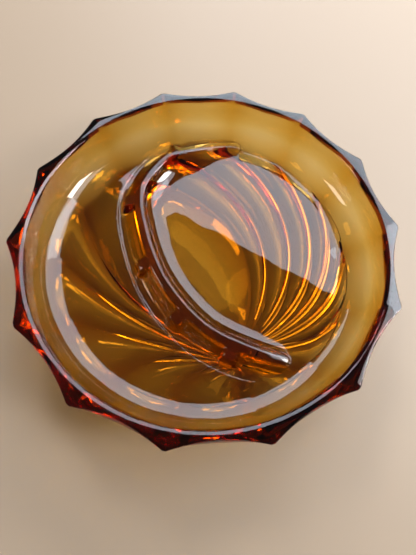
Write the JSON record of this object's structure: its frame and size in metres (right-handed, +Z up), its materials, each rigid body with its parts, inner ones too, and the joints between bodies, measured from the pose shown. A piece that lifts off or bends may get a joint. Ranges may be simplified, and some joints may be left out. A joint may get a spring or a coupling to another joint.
{
  "type": "divided glass dish",
  "caption": "Round divided serving dish in amber pressed glass with a pointed rim, swirl-fluted underside and curved raised divider.",
  "frame": {"origin": "centre of the rim circle, on the resting plane under the ridges", "axes": "+Z up; +X from the centre through one rim tip (the right-hand tip nearest level with the centre in the source view); +Y away from the viewer of that view"},
  "size_m": [0.204, 0.1994, 0.034],
  "materials": {
    "amber_glass": "clear fire-polished gloss"
  },
  "bodies": {
    "root": {"fluted_base": "amber_glass", "side_wall": "amber_glass", "scalloped_rim": "amber_glass", "divider": "amber_glass"}
  },
  "joints": []
}
